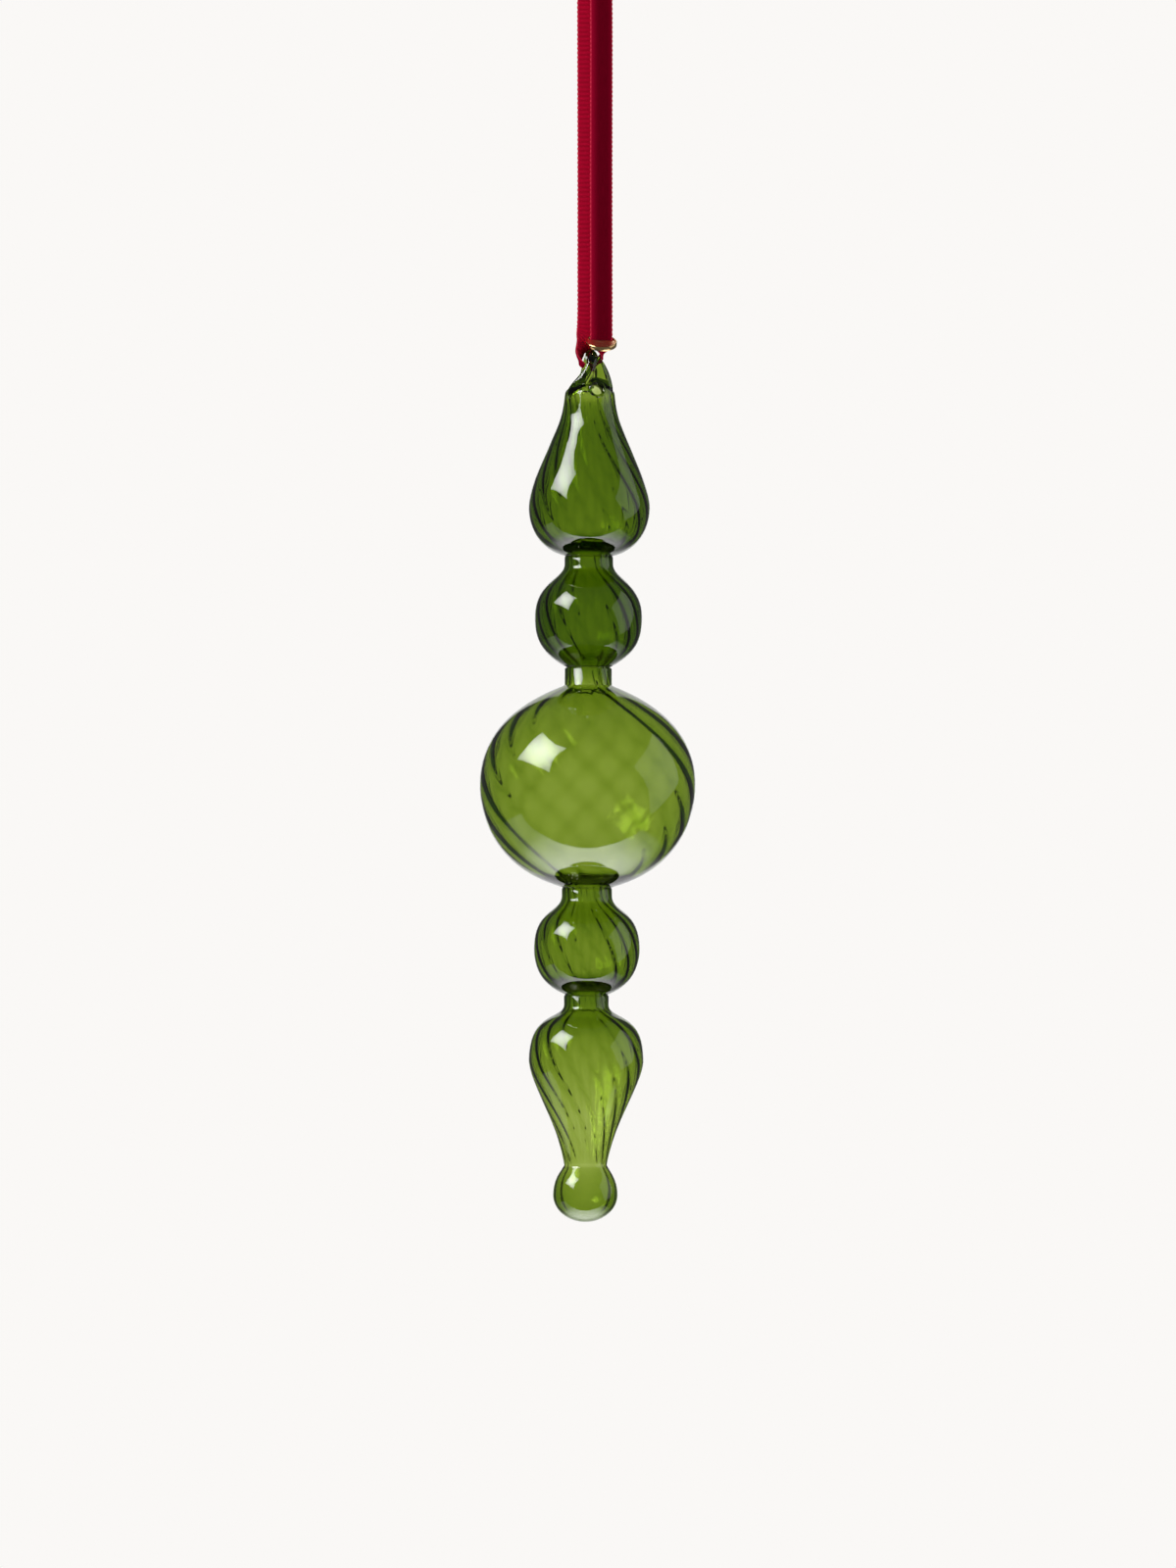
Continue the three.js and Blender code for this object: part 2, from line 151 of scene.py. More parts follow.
# %% [markdown]
# ## The ribbon itself
#
# Real velvet ribbon is a thin woven ground with pile on one face. Both edges are a narrow
# selvedge without pile, where the weft turns round in small loops. A plain extruded
# rectangle would look like plastic, so the cross section has a raised pile face, a thin
# selvedge on each side and a flat back. The selvedge's edge is scalloped and the back has
# cross ribs, at the same pitch, because both come from the weft. The mesh is a tube of rings
# along the route, and its own UV map follows the tape: across it, and along it.

# %% Ribbon tube
HALF_WIDTH = 3.0
WEFT_PITCH = 1.2
SCALLOP = 0.16
GROUND_RIB = 0.05
GROUND_FROM = -0.3  # corners further back than this lie on the ribbed back
# Across the tape and away from it, in mm; the first nine corners go over the pile.
SECTION = [(2.62, -0.04), (2.5, 0.24), (2.2, 0.37), (1.1, 0.4), (0, 0.4), (-1.1, 0.4), (-2.2, 0.37),
           (-2.5, 0.24), (-2.62, -0.04), (-3.0, -0.14), (-3.0, -0.3), (-2.6, -0.36), (-1.3, -0.38),
           (0, -0.38), (1.3, -0.38), (2.6, -0.36), (3.0, -0.3), (3.0, -0.14)]
PILE_SIDES = range(0, 8)
GROUND_SIDES = range(11, 15)


def mesh_object(name, mesh):
    """A smooth shaded object in the scene."""
    piece = bpy.data.objects.new(name, mesh)
    scene.collection.objects.link(piece)
    for polygon in mesh.polygons:
        polygon.use_smooth = True
    return piece


def ribbon_rings():
    """The corners of all rings, and how far along the tape each ring lies."""
    corners, along = [], [0.0]
    for i, (place, _, width, outward) in enumerate(tape):
        if i:
            along.append(along[-1] + (place - tape[i - 1][0]).length)
        wave = math.cos(2 * math.pi * along[-1] / WEFT_PITCH)
        for across, away in SECTION:
            if abs(across) >= HALF_WIDTH:
                across += math.copysign(SCALLOP, across) * (wave - 1) / 2
            elif away < GROUND_FROM:
                away += GROUND_RIB * (1 - wave) / 2
            corners.append((place + width * across + outward * away) * MM)
    return corners, along


def ribbon_mesh():
    """The tape as a tube of rings, closed at both ends, with a finish for each of its sides."""
    sides = len(SECTION)
    corners, along = ribbon_rings()
    faces = []
    for ring in range(len(tape) - 1):
        here, following = ring * sides, (ring + 1) * sides
        for s in range(sides):
            after = (s + 1) % sides
            faces.append((here + s, here + after, following + after, following + s))
    last = (len(tape) - 1) * sides
    faces += [tuple(range(sides))[::-1], tuple(range(last, last + sides))]
    mesh = bpy.data.meshes.new("velvet_loop")
    mesh.from_pydata([tuple(c) for c in corners], [], faces)
    strip = mesh.uv_layers.new(name="tape")
    for polygon in mesh.polygons:
        side = polygon.index % sides
        polygon.material_index = 0 if side in PILE_SIDES else 1 if side in GROUND_SIDES else 2
        for loop, corner in zip(polygon.loop_indices, polygon.vertices):
            across = SECTION[corner % sides][0] / (2 * HALF_WIDTH) + 0.5
            strip.data[loop].uv = (across, along[corner // sides])
    form = bmesh.new()
    form.from_mesh(mesh)
    bmesh.ops.recalc_face_normals(form, faces=form.faces)
    form.to_mesh(mesh)
    form.free()
    return mesh


ribbon = mesh_object("velvet_loop", ribbon_mesh())
print("ribbon faces:", len(ribbon.data.polygons))

# %% [markdown]
# ## Node helpers
#
# Every finish here is made of shader nodes, so a few small helpers keep the cells short. One
# adds a node with its settings and inputs, and the others each add one kind of step: a sum, a
# soft step, a colour between two others, noise, or a height that shows in the light.

# %% Node helpers
def add(tree, kind, settings=None, **inputs):
    """Adds a node. An input is a value, or the output socket of another node."""
    made = tree.nodes.new(kind)
    for key, value in (settings or {}).items():
        setattr(made, key, value)
    for key, value in inputs.items():
        numbered = key[0] == "_" and key[1:].isdigit()
        socket = made.inputs[int(key[1:]) if numbered else key.replace("_", " ")]
        if isinstance(value, bpy.types.NodeSocket):
            tree.links.new(value, socket)
        else:
            socket.default_value = value
    return made


def calc(tree, operation, a, b=0.0, c=0.0):
    """One sum of two or three numbers."""
    return add(tree, "ShaderNodeMath", {"operation": operation}, _0=a, _1=b, _2=c).outputs[0]


def product(tree, first, *others):
    """Several values multiplied together."""
    for other in others:
        first = calc(tree, "MULTIPLY", first, other)
    return first


def ramp(tree, value, low, high, to_low=0.0, to_high=1.0, kind="SMOOTHSTEP"):
    """A soft step from to_low at low to to_high at high."""
    if kind == "SMOOTHSTEP" and low > high:
        low, high, to_low, to_high = high, low, to_high, to_low
    made = add(tree, "ShaderNodeMapRange", {"interpolation_type": kind},
               _0=value, _1=low, _2=high, _3=to_low, _4=to_high)
    return made.outputs[0]


def point(tree, x, y):
    """A place made of two coordinates."""
    return add(tree, "ShaderNodeCombineXYZ", _0=x, _1=y).outputs[0]


def speckle(tree, place, scale, detail, roughness=0.5):
    """Noise from 0 to 1."""
    made = add(tree, "ShaderNodeTexNoise", Vector=place, Scale=scale, Detail=detail, Roughness=roughness)
    return made.outputs[0]


def raised(tree, shader, height, strength, deep):
    """Lets a height show in the light. A whole step of it is deep mm."""
    bump = add(tree, "ShaderNodeBump", Strength=strength, Distance=deep * MM, Height=height)
    tree.links.new(bump.outputs[0], shader.inputs["Normal"])


def finish_named(name, base):
    """A new material with a Principled shader: the tree, the shader and the material."""
    finish = bpy.data.materials.new(name)
    finish.use_nodes = True
    tree = finish.node_tree
    shader = tree.nodes["Principled BSDF"]
    shader.inputs["Base Color"].default_value = (*base, 1)
    return tree, shader, finish


def tinted(tree, share, dark, light):
    """A colour between two others."""
    made = add(tree, "ShaderNodeMix", {"data_type": "RGBA"}, _0=share)
    made.inputs[6].default_value = (*dark, 1)
    made.inputs[7].default_value = (*light, 1)
    return made.outputs[2]


print("node helpers ready")

# %% [markdown]
# ## Velvet, woven ground and selvedge
#
# Pile swallows light that meets it head on and glows where it is seen at a slant, so the
# front of the tape is a dark maroon with a lighter crimson towards its edges. A plain rough
# red would stay the same from all sides. The sheen lobe gives part of the glow; the rest is
# painted sheen, a base colour lighter towards both edges and on the left side. A fine noise,
# stretched along the tape, gives the streaks in the nap. The back of the tape is the bare weave:
# brighter, with ribs across it and painted shade in the grooves between them.

# %% Ribbon finishes
WARP_THREADS = 22  # across the back


def tape_coordinates(tree):
    """Across the tape, from 0 to 1, and along it in mm."""
    uv = add(tree, "ShaderNodeUVMap", {"uv_map": "tape"}).outputs[0]
    parts = add(tree, "ShaderNodeSeparateXYZ", _0=uv).outputs
    return parts[0], parts[1]


def velvet_pile():
    """Short pile, dark in the middle, with a painted sheen that lightens its edges and its left side."""
    tree, shader, finish = finish_named("velvet_pile", (0.09, 0.0, 0.006))
    across, along = tape_coordinates(tree)
    stretched = point(tree, calc(tree, "MULTIPLY", across, 60.0), calc(tree, "MULTIPLY", along, 0.35))
    streaks = speckle(tree, stretched, 1.0, 3.0, 0.6)
    fine = speckle(tree, point(tree, calc(tree, "MULTIPLY", across, 6.0), along), 9.0, 2.0)
    # painted sheen: the colour is lighter towards both edges of the pile
    edge = ramp(tree, calc(tree, "ABSOLUTE", calc(tree, "SUBTRACT", across, 0.5)), 0.24, 0.45)
    painted_left_sheen = ramp(tree, across, 0.42, 0.12, 0.0, 0.4)  # painted sheen: the left side of the pile is lighter
    streaks_and_edge_sheen = calc(tree, "MULTIPLY_ADD", streaks, 0.5, calc(tree, "MULTIPLY", edge, 0.3))
    # the pile's own streaks plus the painted sheen of its edges and its left side
    body = calc(tree, "ADD", streaks_and_edge_sheen, painted_left_sheen)
    colour = tinted(tree, body, (0.055, 0.0, 0.003), (0.27, 0.002, 0.02))
    tree.links.new(colour, shader.inputs["Base Color"])
    tree.links.new(ramp(tree, fine, 0.2, 0.8, 0.75, 0.95, "LINEAR"), shader.inputs["Roughness"])
    raised(tree, shader, calc(tree, "ADD", fine, streaks), 0.5, 0.08)
    shader.inputs["Specular IOR Level"].default_value = 0.0
    shader.inputs["Sheen Weight"].default_value = 0.5
    shader.inputs["Sheen Roughness"].default_value = 0.35
    shader.inputs["Sheen Tint"].default_value = (0.85, 0.005, 0.06, 1)
    return finish


def threads(tree, place, count):
    """A row of rounded threads, with so many of them in each unit of the place."""
    wave = calc(tree, "COSINE", calc(tree, "MULTIPLY", place, 2 * math.pi * count))
    return calc(tree, "MULTIPLY_ADD", wave, 0.5, 0.5)


def woven(name, dark, light, rib_strength):
    """Bare weave with ribs across it, darker in the grooves between them: a painted shade."""
    tree, shader, finish = finish_named(name, light)
    across, along = tape_coordinates(tree)
    weft = threads(tree, along, 1 / WEFT_PITCH)
    warp = threads(tree, across, WARP_THREADS)
    grain = speckle(tree, point(tree, calc(tree, "MULTIPLY", across, 6.0), along), 4.0, 3.0)
    # the colour follows the weft ribs and is darker in their grooves, which is painted shade, and it varies
    # at random with the grain
    grain_and_groove_shade = calc(tree, "MULTIPLY_ADD", weft, 0.45, calc(tree, "MULTIPLY", grain, 0.55))
    tree.links.new(tinted(tree, grain_and_groove_shade, dark, light), shader.inputs["Base Color"])
    tree.links.new(ramp(tree, grain, 0.2, 0.8, 0.6, 0.85, "LINEAR"), shader.inputs["Roughness"])
    raised(tree, shader, calc(tree, "MULTIPLY_ADD", warp, 0.3, weft), rib_strength, 0.1)
    shader.inputs["Specular IOR Level"].default_value = 0.08
    shader.inputs["Sheen Weight"].default_value = 0.2
    shader.inputs["Sheen Tint"].default_value = (0.9, 0.05, 0.15, 1)
    return finish


velvet = velvet_pile()
ground = woven("woven_ground", (0.25, 0.0, 0.012), (0.5, 0.001, 0.03), 0.5)
selvedge = woven("selvedge", (0.35, 0.01, 0.03), (0.62, 0.03, 0.07), 0.4)
for made in (velvet, ground, selvedge):
    ribbon.data.materials.append(made)
print("ribbon finishes:", [m.name for m in ribbon.data.materials])

# %% [markdown]
# ## The outline of the blown glass
#
# A glassblower swells the hot tube in one place after another and nips it with the jacks in
# between, so the body is a solid of revolution: a bell-shaped crown on a long pear, a bead,
# the big ball, another bead, a drop and a small ball at the end. Its outline is a chain of
# cubic curves, each leaving one point at an angle and arriving at the next one at another.
# Depths are measured down from the eye's bar.

# %% Outline of the glass
CROWN = 4.4  # depth of the closed top under the eye's bar
BELL = (4.2, 7.2, 40)  # radius, depth and angle halfway down the bell-shaped crown
SHOULDER = (6.5, 5.4)  # radius and height of the shoulder
SHOULDER_FOOT = (SHOULDER[0], CROWN + SHOULDER[1])
WAIST = (10.04, 22.1, 23.0)  # radius, depth and angle where the pear starts to swell
LIP = 0.35  # the small lip under each jack line
LIP_IN = 0.15  # how far its middle is nipped in
# neck length and radius, widest radius, height above and below it, crease radius,
# leaving angle and pull, pulls at the widest place, arriving angle and pull
BULBS = [
    (0.0, WAIST[0], 15.9, 17.6, 12.6, 6.1, WAIST[2], 8.0, 4.3, 6.9, 78, 5.5),
    (2.2, 6.4, 14.1, 13.9, 13.1, 5.6, 0, 3.6, 9.2, 5.0, 63, 8.3),
    (4.6, 6.2, 28.3, 26.0, 27.1, 6.3, 37, 1.0, 19.7, 7.6, 75, 19.5),
    (2.2, 6.6, 13.9, 13.5, 12.4, 5.5, 0, 4.3, 10.0, 7.6, 70, 4.3),
    (2.6, 5.9, 15.1, 14.3, 27.8, 5.6, 0, 3.8, 12.5, 6.5, 9, 12.0),
]
END_BALL = (8.5, 7.7, 7.2)  # radius, height above the middle and below it
ROUND_PULL = 0.5523  # turns a cubic curve into a quarter of an ellipse
FINE_STEP, END_STEP = 0.5, 0.6  # mm between points on the crown and on the end ball
LEAST_STEP = 0.05  # nearer points than this count as one


def stroke(start, leave, pull, end, arrive, late_pull, step=0.85):
    """Points on one curve of the outline. Angles are in degrees from straight down."""
    a, b = math.radians(leave), math.radians(arrive)
    knots = [Vector((start[0], start[1], 0)),
             Vector((start[0] + pull * math.sin(a), start[1] + pull * math.cos(a), 0)),
             Vector((end[0] - late_pull * math.sin(b), end[1] - late_pull * math.cos(b), 0)),
             Vector((end[0], end[1], 0))]
    reach = (knots[3] - knots[0]).length
    return [p.xy for p in interpolate_bezier(*knots, max(6, round(reach / step)))]


def crown_line():
    """From the closed top down to where the pear starts to swell."""
    line = stroke((0, CROWN), 90, 1.6, BELL[:2], BELL[2], 1.6, FINE_STEP)
    line += stroke(BELL[:2], BELL[2], 1.6, SHOULDER_FOOT, 8, 1.2, FINE_STEP)
    return line + stroke(SHOULDER_FOOT, 6, 6.0, WAIST[:2], WAIST[2], 4.5)


def end_ball_line(depth):
    """The small ball, from its neck at this depth to its tip."""
    radius, above, below = END_BALL
    middle = depth + above
    line = stroke((BULBS[-1][5], depth), 30, above * 0.35, (radius, middle), 0, above * 0.5, END_STEP)
    tip = (0, middle + below)
    return line + stroke((radius, middle), 0, below * ROUND_PULL, tip, -90, radius * ROUND_PULL, END_STEP)


def blown_outline():
    line = crown_line()
    depth = WAIST[1]
    for neck, neck_r, wide, above, below, crease, leave, pull, top_pull, low_pull, arrive, end_pull in BULBS:
        if neck:
            line.append(Vector((neck_r - LIP_IN, depth + LIP * 0.4)))
            line.append(Vector((neck_r, depth + LIP)))
            depth += neck
        widest, foot = (wide, depth + above), (crease, depth + above + below)
        line += stroke((neck_r, depth), leave, pull, widest, 0, top_pull)
        line += stroke(widest, 0, low_pull, foot, -arrive, end_pull)
        depth += above + below
    line += end_ball_line(depth)
    return [p for i, p in enumerate(line) if i == 0 or (p - line[i - 1]).length > LEAST_STEP]


outline = blown_outline()
print("outline:", len(outline), "points, from", round(outline[0].y, 1), "to", round(outline[-1].y, 1), "mm")

# %% [markdown]
# ## The wall and its optic ribs
#
# The glass was first blown into a ribbed mould and then twisted, and later heat smoothed the
# outside, so the ribs stand on the inner side of the wall. The inner outline lies one wall
# inside the outer one. Where two bulbs meet, such an offset line crosses itself, so points
# that come too near the outer line are dropped and the rest is smoothed. The wall is thicker
# where the tube was blown less, which is what makes the pear and the beads darker than the
# big ball.

# %% Inner outline
# Depth and thickness in mm, with a straight change from one row to the next.
WALLS = [
    (4.4, 1.1), (6.5, 0.85), (10.5, 1.0), (13.0, 1.9), (18.0, 2.1), (39.9, 1.9), (48.0, 1.7),
    (52.3, 2.6), (56.0, 2.1), (68.4, 2.2), (76.0, 2.0), (81.0, 2.4), (84.0, 1.7), (88.0, 1.25),
    (112.3, 1.15), (136.5, 1.1), (139.0, 2.3), (143.0, 1.7), (154.9, 1.45), (163.0, 1.4),
    (167.0, 2.4), (172.0, 1.6), (184.2, 1.2), (200.0, 0.85), (212.0, 1.0), (219.7, 1.4), (228.0, 1.2),
]
NEAR_AXIS = 0.3
NEAR_WALL = 0.96  # the share of the wall that an inner point keeps from every outer one
SMOOTHING_ROUNDS = 3


def between(table, at):
    """The value at one place of a table of places and values."""
    for (a, low), (b, high) in zip(table, table[1:]):
        if at <= b:
            return low + (high - low) * max(0.0, (at - a) / (b - a))
    return table[-1][1]


def evenly(line, step):
    """The same line with points an even step apart."""
    made, left = [line[0]], step
    for a, b in zip(line, line[1:]):
        reach = (b - a).length
        while left <= reach:
            made.append(a.lerp(b, left / reach))
            left += step
        left -= reach
    return made + [line[-1]]


def inner_outline(step=0.8):
    line = []
    for i in range(1, len(outline) - 1):
        along = (outline[i + 1] - outline[i - 1]).normalized()
        wall = between(WALLS, outline[i].y)
        place = outline[i] + Vector((-along.y, along.x)) * wall
        nearest = min((place - other).length for other in outline)
        if place.x > NEAR_AXIS and nearest > wall * NEAR_WALL:
            line.append(place)
    line = evenly([Vector((0, line[0].y)), *line, Vector((0, line[-1].y))], step)
    for _ in range(SMOOTHING_ROUNDS):
        smoothed = [(a + 2 * b + c) / 4 for a, b, c in zip(line, line[1:], line[2:])]
        line = [line[0], *smoothed, line[-1]]
    return line


inside = inner_outline()
print("inner outline:", len(inside), "points")

# %% [markdown]
# ## Turning the skins
#
# Both skins are lathed with the spin operator. The inner one then gets its ribs: each ring is
# turned by the twist at its depth, so the columns of the mesh follow the ribs, and its points
# move in towards the axis on a rib. With columns that don't follow the ribs, the ribs would
# come out jagged. Sixteen equal ribs would draw a regular lattice in the big ball, where the
# front ones cross the back ones, so a slow noise makes each rib higher here and lower there.

# %% Spun skins
RIBS = 16
RIB_HEIGHT = 0.24
RIB_SHARP = 2.4  # a higher power leaves narrower ribs
RIB_UNEVEN, RIB_PATCH = 0.9, 38.0  # how much a rib's height varies, and over how many mm
RIB_APART = 5.3  # sets the ribs so far apart in the noise that each has its own
RIB_TWIST = 2.1  # degrees for each millimetre down
RIB_FULL_RADIUS = 10.0  # ribs on a narrower part are lower
RIB_END, RIB_END_FADE = 208, 5  # depth where they die out, and over how many mm
INNER_WAVE, INNER_WAVE_LONG = 0.02, 5
SKIN_SIDES, SIDES_PER_RIB = 128, 10
MERGE_UNDER = 0.004 * MM


def turned_mesh(name, line, sides):
    """A closed mesh turned round Z from a line of radius and height in mm."""
    form = bmesh.new()
    chain = [form.verts.new((radius * MM, 0, height * MM)) for radius, height in line]
    edges = [form.edges.new(pair) for pair in zip(chain, chain[1:])]
    bmesh.ops.spin(form, geom=chain + edges, cent=(0, 0, 0), axis=(0, 0, 1), dvec=(0, 0, 0),
                   angle=2 * math.pi, steps=sides, use_merge=True)
    bmesh.ops.remove_doubles(form, verts=form.verts, dist=MERGE_UNDER)
    bmesh.ops.recalc_face_normals(form, faces=form.faces)
    mesh = bpy.data.meshes.new(name)
    form.to_mesh(mesh)
    form.free()
    return mesh


def spun(name, line, sides):
    """A closed skin turned from an outline of radius and depth, under the eye's bar."""
    return mesh_object(name, turned_mesh(name, [(p.x, BAR - p.y) for p in line], sides))


def rib_share(turn, depth):
    """How far a point at this turn, in radians from a rib's crest, stands up on the rib."""
    rib = round(turn * RIBS / (2 * math.pi)) % RIBS
    uneven = 1.0 + RIB_UNEVEN * noise.noise(Vector((rib * RIB_APART + 0.4, depth / RIB_PATCH, 2.5)))
    return uneven * (0.5 + 0.5 * math.cos(RIBS * turn)) ** RIB_SHARP


def put_ribs(skin):
    """Moves each point in by the rib's height there, and turns it by the twist at its depth."""
    for vertex in skin.data.vertices:
        x, y, z = vertex.co / MM
        radius, turn, depth = math.hypot(x, y), math.atan2(y, x), BAR - z
        dying = min(1.0, max(0.0, (depth - RIB_END) / RIB_END_FADE))
        fade = min(1.0, radius / RIB_FULL_RADIUS) * (1 - dying)
        wave = INNER_WAVE * fade * noise.noise(vertex.co / MM / INNER_WAVE_LONG)
        radius -= RIB_HEIGHT * fade * rib_share(turn, depth) + wave
        turn += math.radians(RIB_TWIST) * depth
        vertex.co = Vector((radius * math.cos(turn), radius * math.sin(turn), z)) * MM


outer_skin = spun("outer_skin", outline, SKIN_SIDES)
cavity = spun("cavity", inside, RIBS * SIDES_PER_RIB)
put_ribs(cavity)
print("outer skin:", len(outer_skin.data.polygons), "faces; cavity:", len(cavity.data.polygons))

# %% [markdown]
# ## The eye
#
# The eye is a rod of hot glass. It starts behind the closed top, is pulled over in an arch
# for the ribbon, and winds down in front to the left shoulder. A flat blade of glass beside it
# runs down to the right. Both are rows of oval rings, bridged one to the next and closed at
# the ends, and subdivision rounds them.

# %% Glass eye
EYE_TURN = math.radians(15)
# Places of the rod's middle in mm, from the back foot over the bar to the end on the left
# shoulder, and its half width and half thickness; then the same for the blade beside it.
ROD = [
    ((-0.9, 3.4, -8.6), 2.4, 1.2), ((-1.1, 4.7, -6.4), 1.9, 1.3), ((-1.0, 5.2, -4.2), 1.7, 1.4),
    ((-0.6, 5.1, -2.3), 1.5, 1.5), ((-0.2, 4.3, -0.45), 1.5, 1.6), ((0.05, 2.5, 0.3), 1.5, 1.75),
    ((0.3, 0, 0.35), 1.5, 1.8), ((0.6, -2.5, 0.0), 1.5, 1.55), ((0.75, -4.3, -0.75), 1.5, 1.5),
    ((0.35, -5.1, -2.2), 1.5, 1.5), ((-0.35, -5.5, -4.1), 1.55, 1.55), ((-1.5, -5.6, -6.1), 1.6, 1.55),
    ((-3.1, -5.1, -7.7), 1.65, 1.2), ((-4.5, -4.3, -9.2), 1.6, 1.0), ((-5.1, -3.2, -11.5), 1.5, 1.0),
]
BLADE = [
    ((1.3, -3.2, -0.5), 1.0, 1.0), ((2.0, -4.2, -1.4), 1.3, 1.3), ((2.5, -4.4, -3.3), 2.0, 1.5),
    ((2.8, -4.4, -5.2), 2.6, 1.5), ((2.85, -4.1, -6.9), 3.1, 1.4), ((2.8, -3.4, -8.6), 3.6, 1.4),
    ((2.5, -2.7, -10.6), 3.95, 1.4), ((1.6, -1.9, -12.6), 3.6, 1.1),
]
ROD_SIDES = 16


def rod_rings(stations):
    """Rings square to the line through the stations; each is wide from left to right."""
    rings = []
    turns = [2 * math.pi * s / ROD_SIDES for s in range(ROD_SIDES)]
    for i, (place, half_wide, half_thick) in enumerate(stations):
        before, after = stations[max(i - 1, 0)][0], stations[min(i + 1, len(stations) - 1)][0]
        along = (Vector(after) - Vector(before)).normalized()
        wide = Vector((math.cos(EYE_TURN), math.sin(EYE_TURN), 0))
        wide = (wide - along * wide.dot(along)).normalized()
        thick = along.cross(wide)
        middle = Vector(place) + Vector((0, 0, BAR))
        ring = [middle + wide * half_wide * math.cos(a) + thick * half_thick * math.sin(a) for a in turns]
        rings.append([corner * MM for corner in ring])
    return rings


def bridged(name, rings):
    """A closed form bridged from ring to ring, with both ends filled."""
    form = bmesh.new()
    loops = []
    for ring in rings:
        corners = [form.verts.new(place) for place in ring]
        loops.append([form.edges.new(pair) for pair in zip(corners, corners[1:] + corners[:1])])
    for here, following in zip(loops, loops[1:]):
        bmesh.ops.bridge_loops(form, edges=here + following)
    for loop in (loops[0], loops[-1]):
        bmesh.ops.contextual_create(form, geom=loop)
    bmesh.ops.recalc_face_normals(form, faces=form.faces)
    mesh = bpy.data.meshes.new(name)
    form.to_mesh(mesh)
    form.free()
    return mesh_object(name, mesh)


def settled(piece):
    """Applies all of a piece's modifiers to its mesh."""
    seen = piece.evaluated_get(bpy.context.evaluated_depsgraph_get())
    mesh = bpy.data.meshes.new_from_object(seen)
    piece.modifiers.clear()
    old, piece.data = piece.data, mesh
    bpy.data.meshes.remove(old)
    return piece


def rounded(piece, levels):
    """Rounds a piece with subdivision and applies it."""
    smooth = piece.modifiers.new("rounding", "SUBSURF")
    smooth.levels = smooth.render_levels = levels
    return settled(piece)


eye = rounded(bridged("glass_eye", rod_rings(ROD)), 2)
blade = rounded(bridged("front_blade", rod_rings(BLADE)), 2)
print("eye:", len(eye.data.polygons) + len(blade.data.polygons), "faces")

# %% [markdown]
# ## Melting the eye to the crown
#
# Hot glass doesn't meet in a sharp corner: it flows together. The eye, the blade beside it
# and a copy of the crown are therefore joined into one block of fine even quads, and
# smoothing then fills the inner corners. The block's sides cross the body's skin at a very
# small angle, so no seam shows.

# %% Crown block
MELT_GRID = 0.2 * MM
MELT_ROUNDS = 24  # of smoothing
BLOCK_TOP, BLOCK_FOOT = 10.5, 14.5  # between these depths the block sinks into the skin
BLOCK_OVER = 0.06  # how far it stands over the skin above that
FLOOR_IN, FLOOR_DOWN = 0.8, 0.6  # the block's floor is smaller and a little deeper


def crown_copy():
    """The crown's outline, a little outside the skin at its top and a little inside at its foot."""
    line = []
    for p in outline:
        if p.y < BLOCK_FOOT:
            sink = min(1.0, max(0.0, (p.y - BLOCK_TOP) / (BLOCK_FOOT - BLOCK_TOP)))
            radius = p.x + BLOCK_OVER * (1 - 2 * sink) if p.x else 0
            line.append(Vector((radius, p.y - BLOCK_OVER * (1 - sink))))
    floor = BLOCK_FOOT + FLOOR_DOWN
    return [*line, Vector((line[-1].x - FLOOR_IN, floor)), Vector((0, floor))]


def melted(parts):
    """Joins overlapping solids into one skin of even quads and smooths the corners between them."""
    joined = bmesh.new()
    for part in parts:
        joined.from_mesh(part.data)
        bpy.data.objects.remove(part)
    mesh = bpy.data.meshes.new("crown_block")
    joined.to_mesh(mesh)
    joined.free()
    block = mesh_object("crown_block", mesh)
    grid = block.modifiers.new("grid", "REMESH")
    grid.mode = "VOXEL"
    grid.voxel_size = MELT_GRID
    soften = block.modifiers.new("soften", "SMOOTH")
    soften.factor = 0.5
    soften.iterations = MELT_ROUNDS
    return settled(block)


crown_block = melted([spun("crown_copy", crown_copy(), SKIN_SIDES), eye, blade])
print("crown block:", len(crown_block.data.polygons), "faces")

# %% [markdown]
# ## One piece of glass
#
# On the real ornament the eye is fused to the body, and the vent is a hole with a lip that
# the flame has rounded. So the parts are joined and cut as solids here, into one closed
# skin. Light bends at each surface of a glass object, and a leftover inner surface would
# show, so a plain join of the meshes isn't enough. The tint needs the closed skin as well,
# because it counts how far light travels through the glass.

# %% Joining and cutting the glass
VENT_R, VENT_LIP_R, VENT_LIP_OUT = 1.5, 2.35, 0.5
VENT_LIP_SOFT = 0.4  # radius of the lip's round edge
VENT_LIP_IN = 1.2  # how deep the lip's foot sits in the wall
BORE_IN, BORE_OUT = 4.0, 2.0
VENT_SIDES = 48
VENT_DEPTH = 8.9
VENT_TURN, VENT_LEAN = math.radians(18), math.radians(15)


def combine(piece, tool, operation):
    """Joins a solid to a piece, or cuts it away, and removes the tool."""
    change = piece.modifiers.new("change", "BOOLEAN")
    change.operation = operation
    change.object = tool
    change.solver = "MANIFOLD"
    settled(piece)
    bpy.data.objects.remove(tool)
    return piece


def radius_at(depth):
    """The outline's radius at the first place where it reaches this depth."""
    for a, b in zip(outline, outline[1:]):
        if b.y >= depth:
            return a.x + (b.x - a.x) * (depth - a.y) / (b.y - a.y)


def vent_place():
    """The frame of the vent: its middle on the skin, with Z out through the wall."""
    tip = Matrix.Translation((0, -radius_at(VENT_DEPTH) * MM, (BAR - VENT_DEPTH) * MM))
    return Matrix.Rotation(VENT_TURN, 4, "Z") @ tip @ Matrix.Rotation(math.radians(90) - VENT_LEAN, 4, "X")


def vent_tool(name, line):
    """A small turned solid, set in the vent's frame. The line is of radius and height."""
    mesh = turned_mesh(name, line, VENT_SIDES)
    mesh.transform(vent_place())
    return mesh_object(name, mesh)


